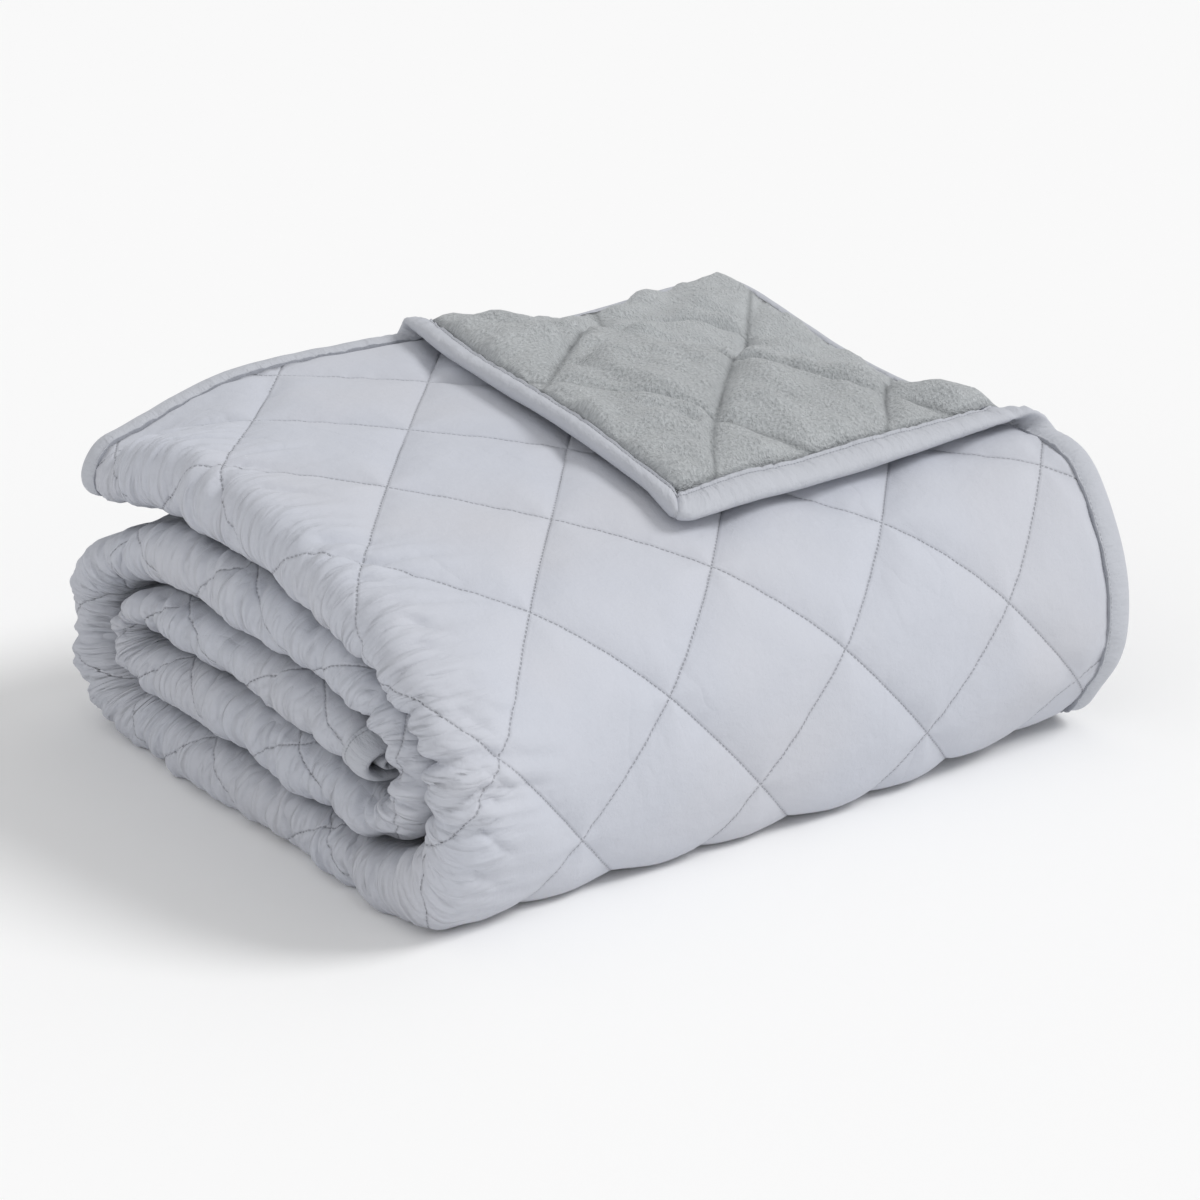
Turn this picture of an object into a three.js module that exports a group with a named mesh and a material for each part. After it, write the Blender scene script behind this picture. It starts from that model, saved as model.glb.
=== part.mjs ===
// A quilted blanket, folded in four across its width and then rolled flat into five layers.
// The smooth face is outside, the plush back inside, and one corner of the top ply is turned back.
// Millimetres, +Z up. X runs along the roll from the folded end to the bound end, +Y is the rear,
// where the free end lies. The origin is at the middle of the footprint, on the floor.
import * as THREE from 'three';

// The quilting: seams cross in diamonds, longer along the strip than across it
const DIAMOND_ACROSS = 150;
const DIAMOND_ALONG = 165.6;
const SEAM_DEPTH = 6;             // how far a sewn seam lies below the crowns
const CROWN_FALL = 1.2;           // fall from the middle of a diamond to its soft rim
const RIM = 0.5;                  // the rim's share of the way from a seam to the middle
const CROSSING_Y = -82.5;         // a seam crossing lies here on the top of the roll

// The folded strip, before it is rolled
const FOLDED_END_X = -169;        // the rounded folds, where y is 0
const BOUND_END_X = 417;          // the bound edges, at the front shoulder
const SHOULDER_Y = -320;
const END_SKEW = 0.07;            // both ends run a little along X towards the rear
const FOLD_REACH = 24;            // how far the rounded fold stands past its straight plies
const INNER_FOLD_SHARE = 0.88;    // the fold inside it stands out less for its radius
const INNER_FOLD_INSET = 16;      // from the bound edges to the small fold of the inner plies
const PLIES = 4;
const PLY_GAP = 1.6;              // air between neighbouring plies
const BINDING = 22;               // width of the bound edge
const BUTT_GAP = 0.3;             // between a binding strip and what it is sewn to
const PINCH = 0.72;               // share of the ply's thickness left where the binding is sewn on

// The roll seen from the folded end, from the inner end of the strip to its free end:
// the outer face of the strip and its inner face, on rays across it
const ROLL = [
  // outer y, outer z, inner y, inner z
  [-284, 107, -284, 81],     // third layer, from the inner end towards the rear
  [-240, 121, -240, 84],
  [-190, 128, -190, 88],
  [-120, 130, -120, 91],
  [-50, 131, -50, 93],
  [4, 129.5, 2, 93],         // inner turn at the rear
  [46, 115, 24, 92],
  [72, 85, 35, 89],
  [60, 57, 26, 86],
  [24, 46.5, 8, 86],
  [-60, 46, -60, 90.5],      // second layer, towards the front
  [-160, 43.5, -160, 88.5],
  [-232, 39.5, -228, 81],
  [-290, 43, -272, 76],      // inner turn at the front
  [-324, 60, -291, 80],
  [-337, 90, -297, 92],
  [-330, 119, -290, 108],
  [-300, 144, -270, 116.5],
  [-240, 164, -232, 123],
  [-160, 177.5, -158, 131.5],   // fourth layer, towards the rear
  [-70, 183.5, -70, 132.5],
  [-6, 184, -6, 132.5],      // outer turn at the rear
  [54, 175, 40, 124],
  [101, 151, 66, 111],
  [133, 113, 84, 95],
  [143, 78, 89, 77],
  [135, 40, 78, 55],
  [103, 10, 52, 45.5],
  [50, -2, 20, 44.2],
  [-60, -2, -60, 44],        // bottom layer, towards the front
  [-160, -2, -160, 41.5],
  [-250, -2, -242, 37.8],
  [-325, -2, -298, 41.5],    // outer turn at the front
  [-362, 5, -328, 58],
  [-375, 36, -339, 76],
  [-380, 82, -340.5, 96],
  [-371, 131, -332, 122],
  [-335, 177, -301, 147.5],
  [-288, 202, -262, 160],
  [-240, 217, -230, 168],
  [-160, 233.5, -157, 180],  // top layer, towards the rear
  [-80, 241, -78, 185.5],
  [0, 245, 0, 190],
  [70, 246, 70, 196],
  [118, 245, 118, 198],
];

// The turned-back corner: a fold line across the top ply, from the free end to the bound edge.
// The corner rolls up there and lies on the ply, pulled out across the fold line and along it.
const FLAP_AT_FREE_END_X = 123;
const FLAP_AT_BOUND_EDGE_X = 418;
const FLAP_ALONG_BOUND_EDGE = 425;
const FLAP_ROLL_RADIUS = 8;
const FLAP_LIFT = 1.5;            // air under the corner once it lies flat
const FLAP_SETTLES_IN = 60;
const FLAP_STRETCH = 1.19;
const FLAP_SLIDE = 0.504;
const FLAP_BOW = 20;              // its free edge bows outwards
const FLAP_BOW_DEPTH = 200;

// How the soft roll settles: each row moves the cloth near a place, fading with distance
const SETTLING = [
  { at: [-169, 110, 230], reach: [100, 90, 75], by: [0, -24, -32] },    // free end droops
  { at: [-169, -372, 110], reach: [75, 120, 80], by: [0, -25, 0] },     // front of the folds bulges
  { at: [430, -330, 190], reach: [130, 60, 60], by: [0, 0, 20] },       // full shoulder, bound end
  { at: [430, -100, 230], reach: [180, 130, 120], by: [0, 0, -13] },    // top sags at the bound end
  { at: [447, 118, 240], reach: [120, 120, 100], by: [0, 0, 14] },      // rear corner stands up
  { at: [430, -372, 0], reach: [160, 60, 50], by: [0, 20, 12] },        // tucked in at the floor
];

const cloth = (color) => new THREE.MeshStandardMaterial({ color, roughness: 0.85, metalness: 0 });
const FACE_CLOTH = cloth(0xc8cbd4);
const BINDING_CLOTH = cloth(0xbfc2ca);

const { clamp, lerp, degToRad, smoothstep } = THREE.MathUtils;
const ease = (t) => smoothstep(t, 0, 1);

// The roll as two curves that share one parameter, sampled once against length
const CURVE_STEPS = 2000;
const samples = (() => {
  const curve = (y, z) => new THREE.CatmullRomCurve3(
    ROLL.map((row) => new THREE.Vector3(0, row[y], row[z])), false, 'centripetal');
  const outer = curve(0, 1).getPoints(CURVE_STEPS);
  const inner = curve(2, 3).getPoints(CURVE_STEPS);
  let length = 0;
  return outer.map((point, i) => {
    if (i > 0) length += point.distanceTo(outer[i - 1]);
    return { outer: point, inner: inner[i], length };
  });
})();
const STRIP_LENGTH = samples.at(-1).length;

function rayAt(u) {
  const length = clamp(u, 0, STRIP_LENGTH);
  let low = 0;
  let high = CURVE_STEPS;
  while (high - low > 1) {
    const middle = (low + high) >> 1;
    if (samples[middle].length <= length) low = middle;
    else high = middle;
  }
  const t = (length - samples[low].length) / (samples[high].length - samples[low].length);
  const outer = samples[low].outer.clone().lerp(samples[high].outer, t);
  const inner = samples[low].inner.clone().lerp(samples[high].inner, t);
  return { outer, inner, thickness: outer.distanceTo(inner) };
}

// Seam crossings are counted along the strip from the one at CROSSING_Y
const CROSSING_LENGTH = samples.findLast(({ outer }) => outer.y < CROSSING_Y).length;

// Depth of the quilting at a place on the flat cloth: x across, u along the strip
function groove(x, u) {
  const across = x / (DIAMOND_ACROSS / 2);
  const along = (u - CROSSING_LENGTH) / (DIAMOND_ALONG / 2);
  const fromSeam = (s) => Math.abs(s - 2 * Math.round(s / 2));
  const off = Math.min(fromSeam(across + along), fromSeam(across - along));
  const rim = 1 - ease(Math.min(off / RIM, 1));
  return SEAM_DEPTH * rim + CROWN_FALL * (1 - off) * (1 - rim);
}

// The fold line of the turned-back corner, on the flat top ply
const foldStart = new THREE.Vector2(FLAP_AT_FREE_END_X, STRIP_LENGTH);
const foldAlong = new THREE.Vector2(FLAP_AT_BOUND_EDGE_X - FLAP_AT_FREE_END_X, -FLAP_ALONG_BOUND_EDGE);
foldAlong.normalize();
const foldAcross = new THREE.Vector2(-foldAlong.y, foldAlong.x);
const pastFold = (x, u) => new THREE.Vector2(x, u).sub(foldStart).dot(foldAcross);
const foldLineX = (u) => foldStart.x - ((u - foldStart.y) * foldAcross.y) / foldAcross.x;
const rearEdgePast = (BOUND_END_X - FLAP_AT_FREE_END_X) * foldAcross.x;

// Past the fold line the top ply goes up round a small roll and back over itself.
// Heights are below the outer face of the strip; middle is that of the ply's middle.
function turnBack({ x, u, height }, middle, ply) {
  const past = pastFold(x, u);
  if (past <= 0) return { x, u, height };
  const offset = height - middle;
  const angle = Math.min(past / FLAP_ROLL_RADIUS, Math.PI);
  const beyond = Math.max(past - Math.PI * FLAP_ROLL_RADIUS, 0);
  const settled = ease(Math.min(beyond / FLAP_SETTLES_IN, 1));
  const lift = lerp(FLAP_ROLL_RADIUS, (ply + FLAP_LIFT) / 2, settled);
  const across = (FLAP_ROLL_RADIUS - offset) * Math.sin(angle) - FLAP_STRETCH * beyond;
  const along = new THREE.Vector2(x, u).sub(foldStart).dot(foldAlong) + FLAP_SLIDE * beyond;
  const place = foldStart.clone().addScaledVector(foldAcross, across).addScaledVector(foldAlong, along);
  const nearEdge = clamp(1 - (STRIP_LENGTH - u) / FLAP_BOW_DEPTH, 0, 1);
  place.x -= FLAP_BOW * Math.sin(Math.PI * Math.min(past / rearEdgePast, 1)) * nearEdge;
  return { x: place.x, u: place.y, height: middle + lift - (lift - offset) * Math.cos(angle) };
}

function settle(p) {
  for (const { at, reach, by } of SETTLING) {
    const far = at.reduce((sum, c, i) => sum + ((p.getComponent(i) - c) / reach[i]) ** 2, 0);
    p.addScaledVector(new THREE.Vector3(...by), Math.exp(-far));
  }
  p.z = Math.max(p.z, 0);
  return p;
}

// From a place in the folded strip to its place in the roll
function rollUp({ x, u, height }) {
  const { outer, inner, thickness } = rayAt(u);
  const p = outer.lerp(inner, -height / thickness);
  p.x = x;
  return settle(p);
}

// The folded strip at length u. Plies are counted from the outside of the roll:
// 1 and 2 end in bound edges, 3 and 4 run into each other there. n is -1 on the plush side
// of a ply and 1 on its face side, and sunk is how deep the quilting lies.
function stripAt(u) {
  const { outer, thickness } = rayAt(u);
  const ply = thickness / PLIES;
  const half = (ply - PLY_GAP) / 2;
  const turnX = FOLDED_END_X + FOLD_REACH + END_SKEW * outer.y;
  const boundX = BOUND_END_X + END_SKEW * (outer.y - SHOULDER_Y);
  const innerFoldX = boundX - INNER_FOLD_INSET;
  const edgeX = boundX - BINDING;
  const straight = (index, x, n, sunk = 0) => {
    const middle = (0.5 - index) * ply;
    const up = index % 2 === 1 ? 1 : -1;
    const flat = { x, u, height: middle + up * n * (half - sunk) };
    return rollUp(index === 1 ? turnBack(flat, middle, ply) : flat);
  };
  const turn = (centreX, reach, centre, radius, degrees) => {
    const a = degToRad(degrees);
    return rollUp({ x: centreX + reach * radius * Math.sin(a), u, height: centre + radius * Math.cos(a) });
  };
  const foldStretch = -FOLD_REACH / (2 * ply);
  return {
    turnX,
    innerFoldX,
    edgeX,
    straight,
    outerFold: (degrees, n, sunk = 0) =>
      turn(turnX, foldStretch, -2 * ply, 1.5 * ply + n * half - sunk, degrees),
    innerFold: (degrees, n) =>
      turn(turnX, INNER_FOLD_SHARE * foldStretch, -2 * ply, ply / 2 - n * half, degrees),
    boundFold: (degrees, n) => turn(innerFoldX, 1, -3 * ply, ply / 2 + n * half, degrees),
  };
}

// A closed body laced together from rings of points
const AT_WALLS = 1.02;

class Body {
  points = [];

  triangles = [];

  add(list) {
    return list.map((p) => this.points.push(p) - 1);
  }

  // Triangles between two open rows of points, stepping along whichever gives the shorter edge.
  // A favour over 1 settles near ties along the first, so that walls facing each other match.
  lace(a, b, favour = 1) {
    let i = 0;
    let j = 0;
    const gap = (m, n) => this.points[m].distanceTo(this.points[n]);
    while (i < a.length - 1 || j < b.length - 1) {
      const stepA = i < a.length - 1 ? gap(a[i + 1], b[j]) : Infinity;
      const stepB = j < b.length - 1 ? gap(a[i], b[j + 1]) : Infinity;
      if (stepA <= stepB * favour) this.triangles.push([a[i], a[++i], b[j]]);
      else this.triangles.push([a[i], b[j + 1], b[j++]]);
    }
  }

  mesh(name, material) {
    const geometry = new THREE.BufferGeometry();
    const position = this.points.flatMap((p) => p.toArray());
    geometry.setAttribute('position', new THREE.Float32BufferAttribute(position, 3));
    geometry.setIndex(this.triangles.flat());
    geometry.computeVertexNormals();
    const mesh = new THREE.Mesh(geometry, material);
    mesh.name = name;
    return mesh;
  }
}

// The quilt: face, filling and plush back sewn through. Its rows stand at lengths u that fall
// on the seams, close together where the cloth shows or bends and twice as far apart elsewhere.
const ROW = DIAMOND_ALONG / 8;
const COLUMN = DIAMOND_ACROSS / 8;
const HIDDEN_X = [-25, 240];
const atRow = (row) => samples[Math.round((row / (ROLL.length - 1)) * CURVE_STEPS)].length;
const QUILTED_FROM = atRow(19.5);   // the face is out of sight before this length
const SEEN_FROM = atRow(31.5);      // and lies on the floor or behind before this one
const END_ROWS_APART = 0.3;       // least share of a row between an end of the quilt and a seam row
const BEND = 0.2;                 // radians over three rows

function bends(u) {
  const direction = (s) => rayAt(s + 1).outer.sub(rayAt(s - 1).outer);
  return direction(u - 1.5 * ROW).angleTo(direction(u + 1.5 * ROW)) > BEND;
}

function quiltRows() {
  const from = BINDING;
  const to = STRIP_LENGTH - BINDING;
  const first = Math.ceil((from - CROSSING_LENGTH) / ROW + END_ROWS_APART);
  const last = Math.floor((to - CROSSING_LENGTH) / ROW - END_ROWS_APART);
  const rows = [{ u: from, index: first - 1 }];
  for (let index = first; index <= last; index++) {
    const u = CROSSING_LENGTH + index * ROW;
    if (u > SEEN_FROM || index % 2 === 0 || bends(u)) rows.push({ u, index });
  }
  rows.push({ u: to, index: last + 1 });
  return rows;
}

// Columns that fall on the seams of one row, between two limits, from the right to the left
function seamColumns(index, from, to) {
  const columns = [];
  for (let i = Math.floor(to / COLUMN); i * COLUMN > from; i--) {
    const x = i * COLUMN;
    if ((i + index) % 2 === 0 && x > from + COLUMN / 3 && x < to - COLUMN / 3) columns.push(x);
  }
  return columns;
}

// Columns of the top ply, with those that carry the roll of the turned-back corner
function topColumns({ u, index }, from, to) {
  if (u < QUILTED_FROM) return HIDDEN_X.toReversed();
  const columns = seamColumns(index, from, to);
  const line = foldLineX(u);
  if (line > to) return columns;
  const eighth = (Math.PI * FLAP_ROLL_RADIUS) / 8 / foldAcross.x;
  const roll = [-3, 0, 1.6, 3.2, 4.8, 6.4, 8, 11].map((k) => line + k * eighth);
  const clear = COLUMN / 2;
  const kept = columns.filter((x) => x < roll[0] - clear || x > roll.at(-1) + clear);
  return [...kept, ...roll.filter((x) => x < to - 4)].sort((a, b) => b - a);
}

// pinch is less than 1 on the two rows where an end strip is sewn on
function quiltRing(row, pinch) {
  const { u, index } = row;
  const at = stripAt(u);
  const { turnX, innerFoldX, edgeX } = at;
  const sunk = (x) => (pinch < 1 ? 0 : groove(x, u));
  const straight = (ply, n, columns) => columns.map((x) => at.straight(ply, x, n * pinch));
  const degrees = (list, place, n) => list.map((a) => place(a, n * pinch));
  const left = [turnX, ...HIDDEN_X];
  const inner = [...left, innerFoldX];
  const top = topColumns(row, turnX, edgeX);
  const face = [
    at.straight(1, edgeX, PINCH),
    ...[...top, turnX].map((x) => at.straight(1, x, pinch, sunk(x))),
    ...[30, 60, 90, 120, 150, 180].map((a) => {
      const s = Math.sin(degToRad(a));
      return at.outerFold(a, pinch, sunk(turnX - degToRad(a) * FOLD_REACH) * s);
    }),
    ...straight(4, 1, inner.slice(1)),
    ...degrees([135, 90, 45], at.boundFold, 1),
    ...straight(3, 1, inner.toReversed()),
    ...straight(2, 1, left),
    at.straight(2, edgeX, PINCH),
  ];
  // The plush shows on the turned-back corner and on the ply that it uncovers
  const bared = foldLineX(u) < edgeX;
  const uncovered = bared && pinch === 1 ? seamColumns(index, foldLineX(u) - COLUMN, edgeX) : [];
  const covered = left.filter((x) => x < (uncovered.at(-1) ?? edgeX) - COLUMN / 3);
  const underTop = bared ? top : HIDDEN_X.toReversed();
  const plush = [
    at.straight(2, edgeX, -PINCH),
    ...uncovered.map((x) => at.straight(2, x, -pinch, sunk(x))),
    ...straight(2, -1, covered.reverse()),
    ...degrees([45, 90, 135], at.innerFold, -1),
    ...straight(3, -1, inner),
    ...straight(4, -1, inner.toReversed()),
    ...degrees([135, 90, 45], at.outerFold, -1),
    at.straight(1, turnX, -pinch),
    ...underTop.toReversed().map((x) => at.straight(1, x, -pinch, pastFold(x, u) > 0 ? sunk(x) / 2 : 0)),
    at.straight(1, edgeX, -PINCH),
  ];
  return { face, plush };
}

function quilt(rows) {
  const body = new Body();
  const rings = rows.map((row, k) => {
    const { face, plush } = quiltRing(row, k % (rows.length - 1) === 0 ? PINCH : 1);
    return { face: body.add(face), plush: body.add(plush) };
  });
  for (let k = 1; k < rings.length; k++) {
    const [a, b] = [rings[k], rings[k - 1]];
    body.lace(a.face, b.face);
    body.lace(a.plush, b.plush);
  }
  body.lace(rings.map(({ face }) => face.at(-1)), rings.map(({ plush }) => plush[0]), AT_WALLS);
  body.lace(rings.map(({ plush }) => plush.at(-1)), rings.map(({ face }) => face[0]), AT_WALLS);
  const first = rings[0];
  const last = rings.at(-1);
  body.lace(first.face, first.plush.toReversed(), AT_WALLS);
  body.lace(last.plush.toReversed(), last.face, AT_WALLS);
  return body.mesh('quilt', FACE_CLOTH);
}

// The binding: a folded strip of the face cloth over each raw edge, puffed by the filling.
// Its section runs from the seam side out to the rim on the face and back on the plush side.
const BINDING_SECTION = [
  // distance from the seam, share of the ply's half thickness
  [BUTT_GAP, PINCH],
  [BINDING * 0.4, 1],
  [BINDING * 0.82, 0.72],
  [BINDING, 0],
  [BINDING * 0.82, -0.72],
  [BINDING * 0.4, -1],
  [BUTT_GAP, -PINCH],
];

// Each station along a strip is a function from (distance from the seam, n) to a place
function bindingStrip(name, stations) {
  const body = new Body();
  const rings = stations.map((place) => {
    const ring = body.add(BINDING_SECTION.map(([out, n]) => place(out, n)));
    return [...ring, ring[0]];
  });
  for (let k = 1; k < rings.length; k++) {
    const [a, b] = [rings[k - 1], rings[k]];
    for (let i = 1; i < a.length; i++) body.lace([a[i - 1], a[i]], [b[i - 1], b[i]], AT_WALLS);
  }
  const toRim = Math.ceil(BINDING_SECTION.length / 2);
  const face = (ring) => ring.slice(0, toRim);
  const plush = (ring) => ring.slice(toRim, -1).reverse();
  body.lace(plush(rings[0]), face(rings[0]));
  body.lace(face(rings.at(-1)), plush(rings.at(-1)));
  return body.mesh(name, BINDING_CLOTH);
}

const rows = quiltRows();
const sideStations = (index) => [0, ...rows.map(({ u }) => u), STRIP_LENGTH].map((u) => {
  const at = stripAt(u);
  return (out, n) => at.straight(index, at.edgeX + out, n);
});

// An end strip runs through the four plies, between the side strips of the first and the second
function endStations(seam, outward, topX) {
  const station = (place) => (out, n) => place(stripAt(seam + outward * out), n);
  const straight = (index, list) => list.map((x) => station((at, n) => at.straight(index, x(at), n)));
  const [top, hidden] = [topX, HIDDEN_X].map((list) => list.map((x) => () => x));
  const turnX = (at) => at.turnX;
  const innerFoldX = (at) => at.innerFoldX;
  const buttX = (at) => at.edgeX - BUTT_GAP;
  return [
    ...straight(1, [buttX, ...top, turnX]),
    ...[30, 60, 90, 120, 150].map((a) => station((at, n) => at.outerFold(a, n))),
    ...straight(4, [turnX, ...hidden, innerFoldX]),
    ...[135, 90, 45].map((a) => station((at, n) => at.boundFold(a, n))),
    ...straight(3, [innerFoldX, ...hidden.toReversed(), turnX]),
    ...[135, 90, 45].map((a) => station((at, n) => at.innerFold(a, n))),
    ...straight(2, [turnX, ...hidden, buttX]),
  ];
}

const lastRow = rows.at(-1);
const lastStrip = stripAt(lastRow.u);
const freeEndX = topColumns(lastRow, lastStrip.turnX, lastStrip.edgeX);
const blanket = new THREE.Group();
blanket.add(
  quilt(rows),
  bindingStrip('binding_outer_side', sideStations(1)),
  bindingStrip('binding_inner_side', sideStations(2).reverse()),
  bindingStrip('binding_free_end', endStations(lastRow.u, 1, freeEndX)),
  bindingStrip('binding_inner_end', endStations(rows[0].u, -1, HIDDEN_X.toReversed()).reverse()),
);

const box = new THREE.Box3().setFromObject(blanket);
const middle = box.getCenter(new THREE.Vector3());
for (const { geometry } of blanket.children) geometry.translate(-middle.x, -middle.y, -box.min.z);
export default blanket;
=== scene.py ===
import math

import bmesh
import bpy
import numpy as np
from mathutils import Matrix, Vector, noise


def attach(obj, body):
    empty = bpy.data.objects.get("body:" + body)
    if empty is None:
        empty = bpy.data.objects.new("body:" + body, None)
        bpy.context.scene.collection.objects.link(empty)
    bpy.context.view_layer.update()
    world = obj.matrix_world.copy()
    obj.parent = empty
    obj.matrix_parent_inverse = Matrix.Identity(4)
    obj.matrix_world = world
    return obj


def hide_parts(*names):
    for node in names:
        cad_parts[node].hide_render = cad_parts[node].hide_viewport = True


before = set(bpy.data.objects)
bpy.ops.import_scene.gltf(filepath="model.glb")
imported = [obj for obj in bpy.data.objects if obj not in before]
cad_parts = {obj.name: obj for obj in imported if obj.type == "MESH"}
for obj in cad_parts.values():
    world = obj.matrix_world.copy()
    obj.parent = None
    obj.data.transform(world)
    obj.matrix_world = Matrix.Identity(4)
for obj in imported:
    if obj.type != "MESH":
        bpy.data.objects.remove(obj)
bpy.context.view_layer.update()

# The camera stands at the front left, a little above the blanket, with a long lens.
CAMERA_AT = (-1.4442, -1.8569, 0.8843)
CAMERA_TILT = math.radians(71.5)
CAMERA_TURN = math.radians(-37.94)
LENS = 104.6                       # mm
camera_data = bpy.data.cameras.new("camera")
camera_data.lens = LENS
camera = bpy.data.objects.new("camera", camera_data)
camera.location = CAMERA_AT
camera.rotation_euler = (CAMERA_TILT, 0, CAMERA_TURN)
bpy.context.scene.collection.objects.link(camera)
bpy.context.scene.camera = camera

# The studio: a white floor that runs out of sight, a broad lamp high on the right that throws
# the soft shadow to the left of the turned-back corner, a weak one low on the left that lightens
# the folded end, and an even white surround.
LIGHTS = [
    # Name, strength, width in degrees, and where it shines from
    ("key_light", 1.52, 22, (0.58, -0.42, 0.70)),
    ("fill_light", 0.32, 50, (-0.75, -0.45, 0.35)),
]
SURROUND_STRENGTH = 0.63
FLOOR_HALF_SIZE = 12               # metres
FLOOR_COLOUR = (0.95, 0.95, 0.95)
for name, energy, angle, towards in LIGHTS:
    light_data = bpy.data.lights.new(name, "SUN")
    light_data.energy = energy
    light_data.angle = math.radians(angle)
    light = bpy.data.objects.new(name, light_data)
    light.rotation_euler = Vector(towards).to_track_quat("Z", "Y").to_euler()
    bpy.context.scene.collection.objects.link(light)
surround = bpy.data.worlds.new("surround")
surround.use_nodes = True
surround.node_tree.nodes["Background"].inputs["Color"].default_value = (1, 1, 1, 1)
surround.node_tree.nodes["Background"].inputs["Strength"].default_value = SURROUND_STRENGTH
bpy.context.scene.world = surround
bpy.context.scene.view_settings.view_transform = "Standard"


class Value:
    """A shader value: Python's operators on it add Math nodes."""

    def __init__(self, material, socket):
        self.material, self.socket = material, socket

    def math(self, operation, *others):
        return self.material.node("ShaderNodeMath", {"operation": operation}, (self, *others))

    def __add__(self, other):
        return self.math("ADD", other)

    def __mul__(self, other):
        return self.math("MULTIPLY", other)

    def __sub__(self, other):
        return self.math("SUBTRACT", other)

    def __rsub__(self, other):
        return self.material.node("ShaderNodeMath", {"operation": "SUBTRACT"}, (other, self))

    def __truediv__(self, other):
        return self.math("DIVIDE", other)

    def __abs__(self):
        return self.math("ABSOLUTE")

    def below(self, edge, softness):
        """1 under edge and 0 over it, easing over softness on either side."""
        ends = {"From Min": edge - softness, "From Max": edge + softness, "To Min": 1.0, "To Max": 0.0}
        return self.material.node("ShaderNodeMapRange", {"interpolation_type": "SMOOTHSTEP"},
                                  {"Value": self, **ends})

    __radd__, __rmul__ = __add__, __mul__


class Finish:
    """A material whose nodes are added by node()."""

    def __init__(self, name, roughness, sheen):
        self.material = bpy.data.materials.new(name)
        self.material.use_nodes = True
        self.tree = self.material.node_tree
        self.surface = self.tree.nodes["Principled BSDF"]
        self.surface.inputs["Roughness"].default_value = roughness
        self.surface.inputs["Sheen Weight"].default_value = sheen
        self.surface.inputs["Sheen Roughness"].default_value = 0.4
        self.surface.inputs["Specular IOR Level"].default_value = 0.2

    def node(self, kind, settings=None, inputs=(), output=0):
        made = self.tree.nodes.new(kind)
        for key, setting in (settings or {}).items():
            setattr(made, key, setting)
        pairs = inputs.items() if isinstance(inputs, dict) else enumerate(inputs)
        for key, given in pairs:
            if isinstance(given, Value):
                self.tree.links.new(given.socket, made.inputs[key])
            else:
                made.inputs[key].default_value = given
        return Value(self, made.outputs[output])

    def flat_place(self):
        """Where a point lies on the flat cloth, in metres: across, along, and both as a vector."""
        place = self.node("ShaderNodeUVMap", {"uv_map": "flat"})
        parts = self.tree.nodes.new("ShaderNodeSeparateXYZ")
        self.tree.links.new(place.socket, parts.inputs[0])
        return Value(self, parts.outputs[0]), Value(self, parts.outputs[1]), place

    def noise(self, place, scale, detail=2.0, roughness=0.5, stretch=(1.0, 1.0, 1.0)):
        placed = self.node("ShaderNodeMapping", {}, {"Vector": place, "Scale": stretch})
        return self.node("ShaderNodeTexNoise", {}, {
            "Vector": placed, "Scale": scale, "Detail": detail, "Roughness": roughness})

    def colours(self, share, first, second):
        """The first colour where share is 0 and the second where it is 1."""
        return self.node("ShaderNodeMix", {"data_type": "RGBA"}, {
            "Factor": share, 6: (*first, 1), 7: (*second, 1)}, output=2)

    def mixed(self, share, colour, other):
        """A colour from the nodes, with share of another in it."""
        return self.node("ShaderNodeMix", {"data_type": "RGBA"}, {
            "Factor": share, 6: colour, 7: (*other, 1)}, output=2)

    def relief(self, height, distance, strength=1.0, under=None):
        """Bumps of the height, over the relief under it where there is one."""
        inputs = {"Height": height, "Distance": distance, "Strength": strength}
        if under is not None:
            inputs["Normal"] = under
        return self.node("ShaderNodeBump", {}, inputs)

    def wear(self, **sockets):
        """Links values to the surface's inputs, as in Base_Color=colour."""
        for name, value in sockets.items():
            self.tree.links.new(value.socket, self.surface.inputs[name.replace("_", " ")])


floor_finish = Finish("floor", roughness=0.9, sheen=0.0)
floor_finish.surface.inputs["Base Color"].default_value = (*FLOOR_COLOUR, 1)
bm = bmesh.new()
bmesh.ops.create_grid(bm, x_segments=1, y_segments=1, size=FLOOR_HALF_SIZE)
floor_mesh = bpy.data.meshes.new("floor")
bm.to_mesh(floor_mesh)
bm.free()
floor_mesh.materials.append(floor_finish.material)
floor = bpy.data.objects.new("floor", floor_mesh)
bpy.context.scene.collection.objects.link(floor)

# The quilt: a smooth brushed face, a light filling and a plush back, sewn through in diamonds.
# It is folded in four across its width, plush to plush, then rolled flat into five layers.
MM = 0.001
DIAMOND_ACROSS = 150 * MM
DIAMOND_ALONG = 165.6 * MM
DIAMOND_DIAGONALS = math.hypot(DIAMOND_ACROSS, DIAMOND_ALONG)
SEAM_TO_MIDDLE = DIAMOND_ACROSS * DIAMOND_ALONG / 2 / DIAMOND_DIAGONALS
CROSSING_Y = -82.5 * MM            # where two seams cross on top of the roll
SEAM_DEPTH = 5.4 * MM
PILLOW_RIM = 0.62                  # share of the way to a diamond's middle where it is full
FOLDED_END_X = -169 * MM
BOUND_END_X = 417 * MM
SHOULDER_Y = -320 * MM
END_SKEW = 0.07                    # how far both ends slant to the rear
FOLD_REACH = 24 * MM
FOLD_SWAY = 2.6 * MM
INNER_FOLD_SHARE = 0.88
INNER_FOLD_INSET = 16 * MM
PLY_GAP = 1.6 * MM
BINDING = 22 * MM
FOOTPRINT_MIDDLE = np.array([127.73, -128.715, 0]) * MM

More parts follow.
